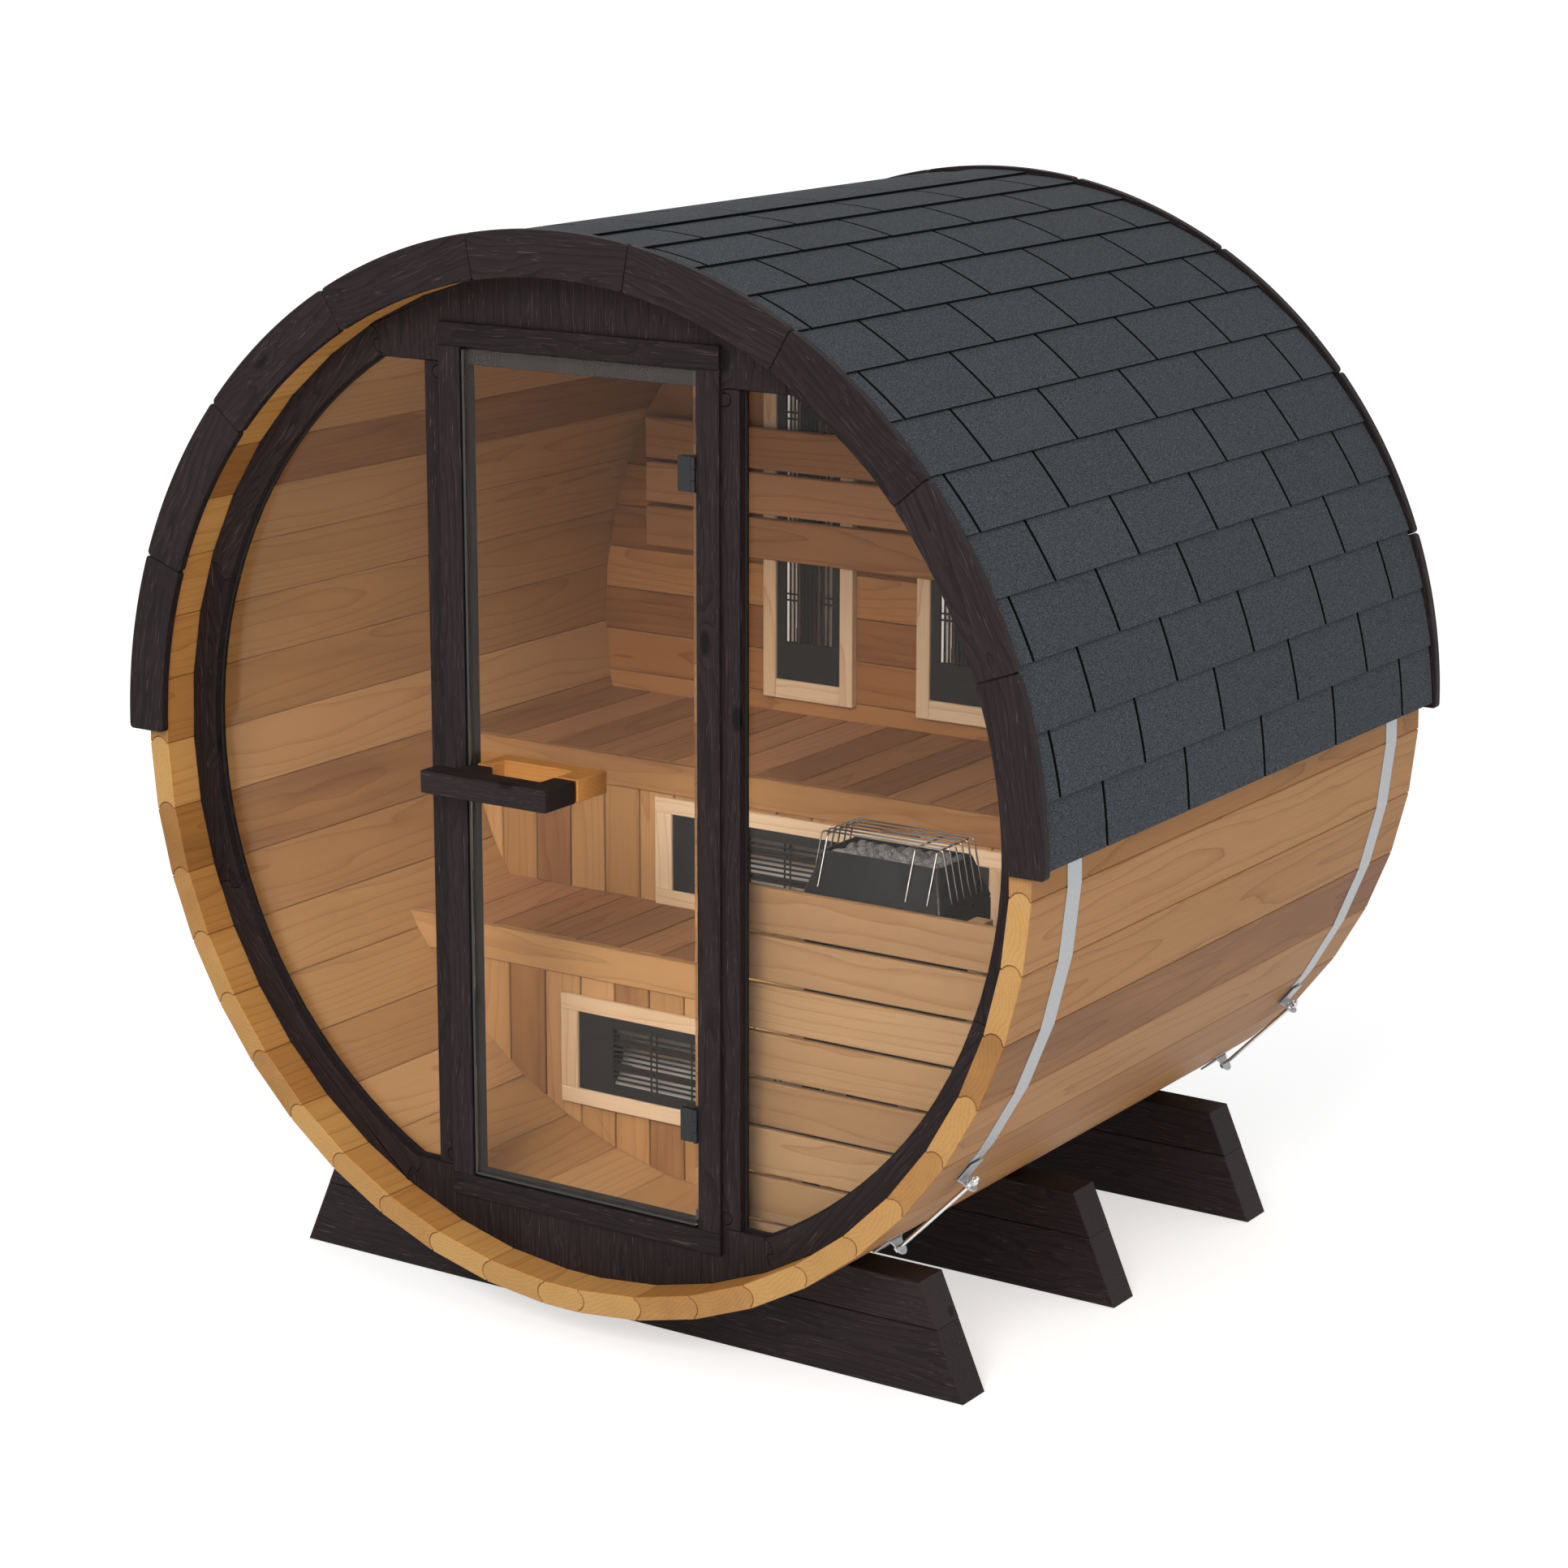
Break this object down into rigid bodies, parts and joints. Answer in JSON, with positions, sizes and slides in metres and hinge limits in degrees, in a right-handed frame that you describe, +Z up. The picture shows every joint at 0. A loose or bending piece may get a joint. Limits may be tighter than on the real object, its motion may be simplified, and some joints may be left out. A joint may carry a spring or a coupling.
{
  "type": "barrel sauna",
  "caption": "Wooden stave barrel sauna on cradles, with a glazed front, hinged glass door, shingled half-round roof, stepped benches, radiant heaters and a fenced stone heater.",
  "frame": {"origin": "centre of the box at ground level, under the middle of the cradles", "axes": "+X to the right seen from the front, +Y from the door to the rear gable, +Z up"},
  "size_m": [2.07, 1.616, 2.1078],
  "materials": {
    "stave_wood": "oiled satin",
    "gable_wood": "dark stained satin",
    "cradle_wood": "dark stained satin",
    "handle_dark_wood": "dark stained satin",
    "handle_light_wood": "planed satin",
    "tinted_glass": "tinted polished",
    "hinge_metal": "satin black",
    "roof_shingle": "mineral granules",
    "band_steel": "brushed",
    "bench_wood": "planed satin",
    "frame_wood": "planed matt",
    "heater_black": "satin black",
    "fence_wood": "planed satin",
    "stove_steel": "satin black",
    "stove_stone": "rough",
    "guard_wire": "polished"
  },
  "bodies": {
    "cabin": {"floor_staves": "stave_wood", "wall_right_lower": "stave_wood", "wall_right_middle": "stave_wood", "wall_right_upper": "stave_wood", "wall_left_lower": "stave_wood", "wall_left_middle": "stave_wood", "wall_left_upper": "stave_wood", "rear_gable": "gable_wood", "gable_left": "gable_wood", "gable_right": "gable_wood", "gable_head": "gable_wood", "gable_foot": "gable_wood", "window_left": "tinted_glass", "window_right": "tinted_glass", "door_casing_jambs": "gable_wood", "door_casing_rails": "gable_wood", "door_stop": "gable_wood", "hinge_leaves": "hinge_metal", "roof_right_eave": "roof_shingle", "roof_right_crown": "roof_shingle", "roof_left_crown": "roof_shingle", "roof_left_eave": "roof_shingle", "front_fascia": "gable_wood", "rear_fascia": "gable_wood", "steel_bands": "band_steel", "band_tensioners": "band_steel", "cradle_lower_boards": "cradle_wood", "cradle_upper_boards": "cradle_wood", "upper_bench_seat": "bench_wood", "upper_bench_rail": "bench_wood", "upper_bench_skirt": "bench_wood", "lower_bench_seat": "bench_wood", "lower_bench_rail": "bench_wood", "lower_bench_skirt": "bench_wood", "ir_heater_frames": "frame_wood", "ir_heater_panels": "heater_black", "backrest_slats": "bench_wood", "heater_fence": "fence_wood", "stove_body": "stove_steel", "stove_stones": "stove_stone", "stove_guard": "guard_wire"},
    "door": {"door_glass": "tinted_glass", "door_hinges": "hinge_metal", "door_handle_outer": "handle_dark_wood", "door_handle_inner": "handle_light_wood"}
  },
  "joints": [
    {"name": "door_hinge", "type": "hinge", "parent": "cabin", "child": "door", "pos_m": [0.26, -0.7195, 1.073], "axis": [0, 0, 1], "range_deg": [0, 100]}
  ]
}
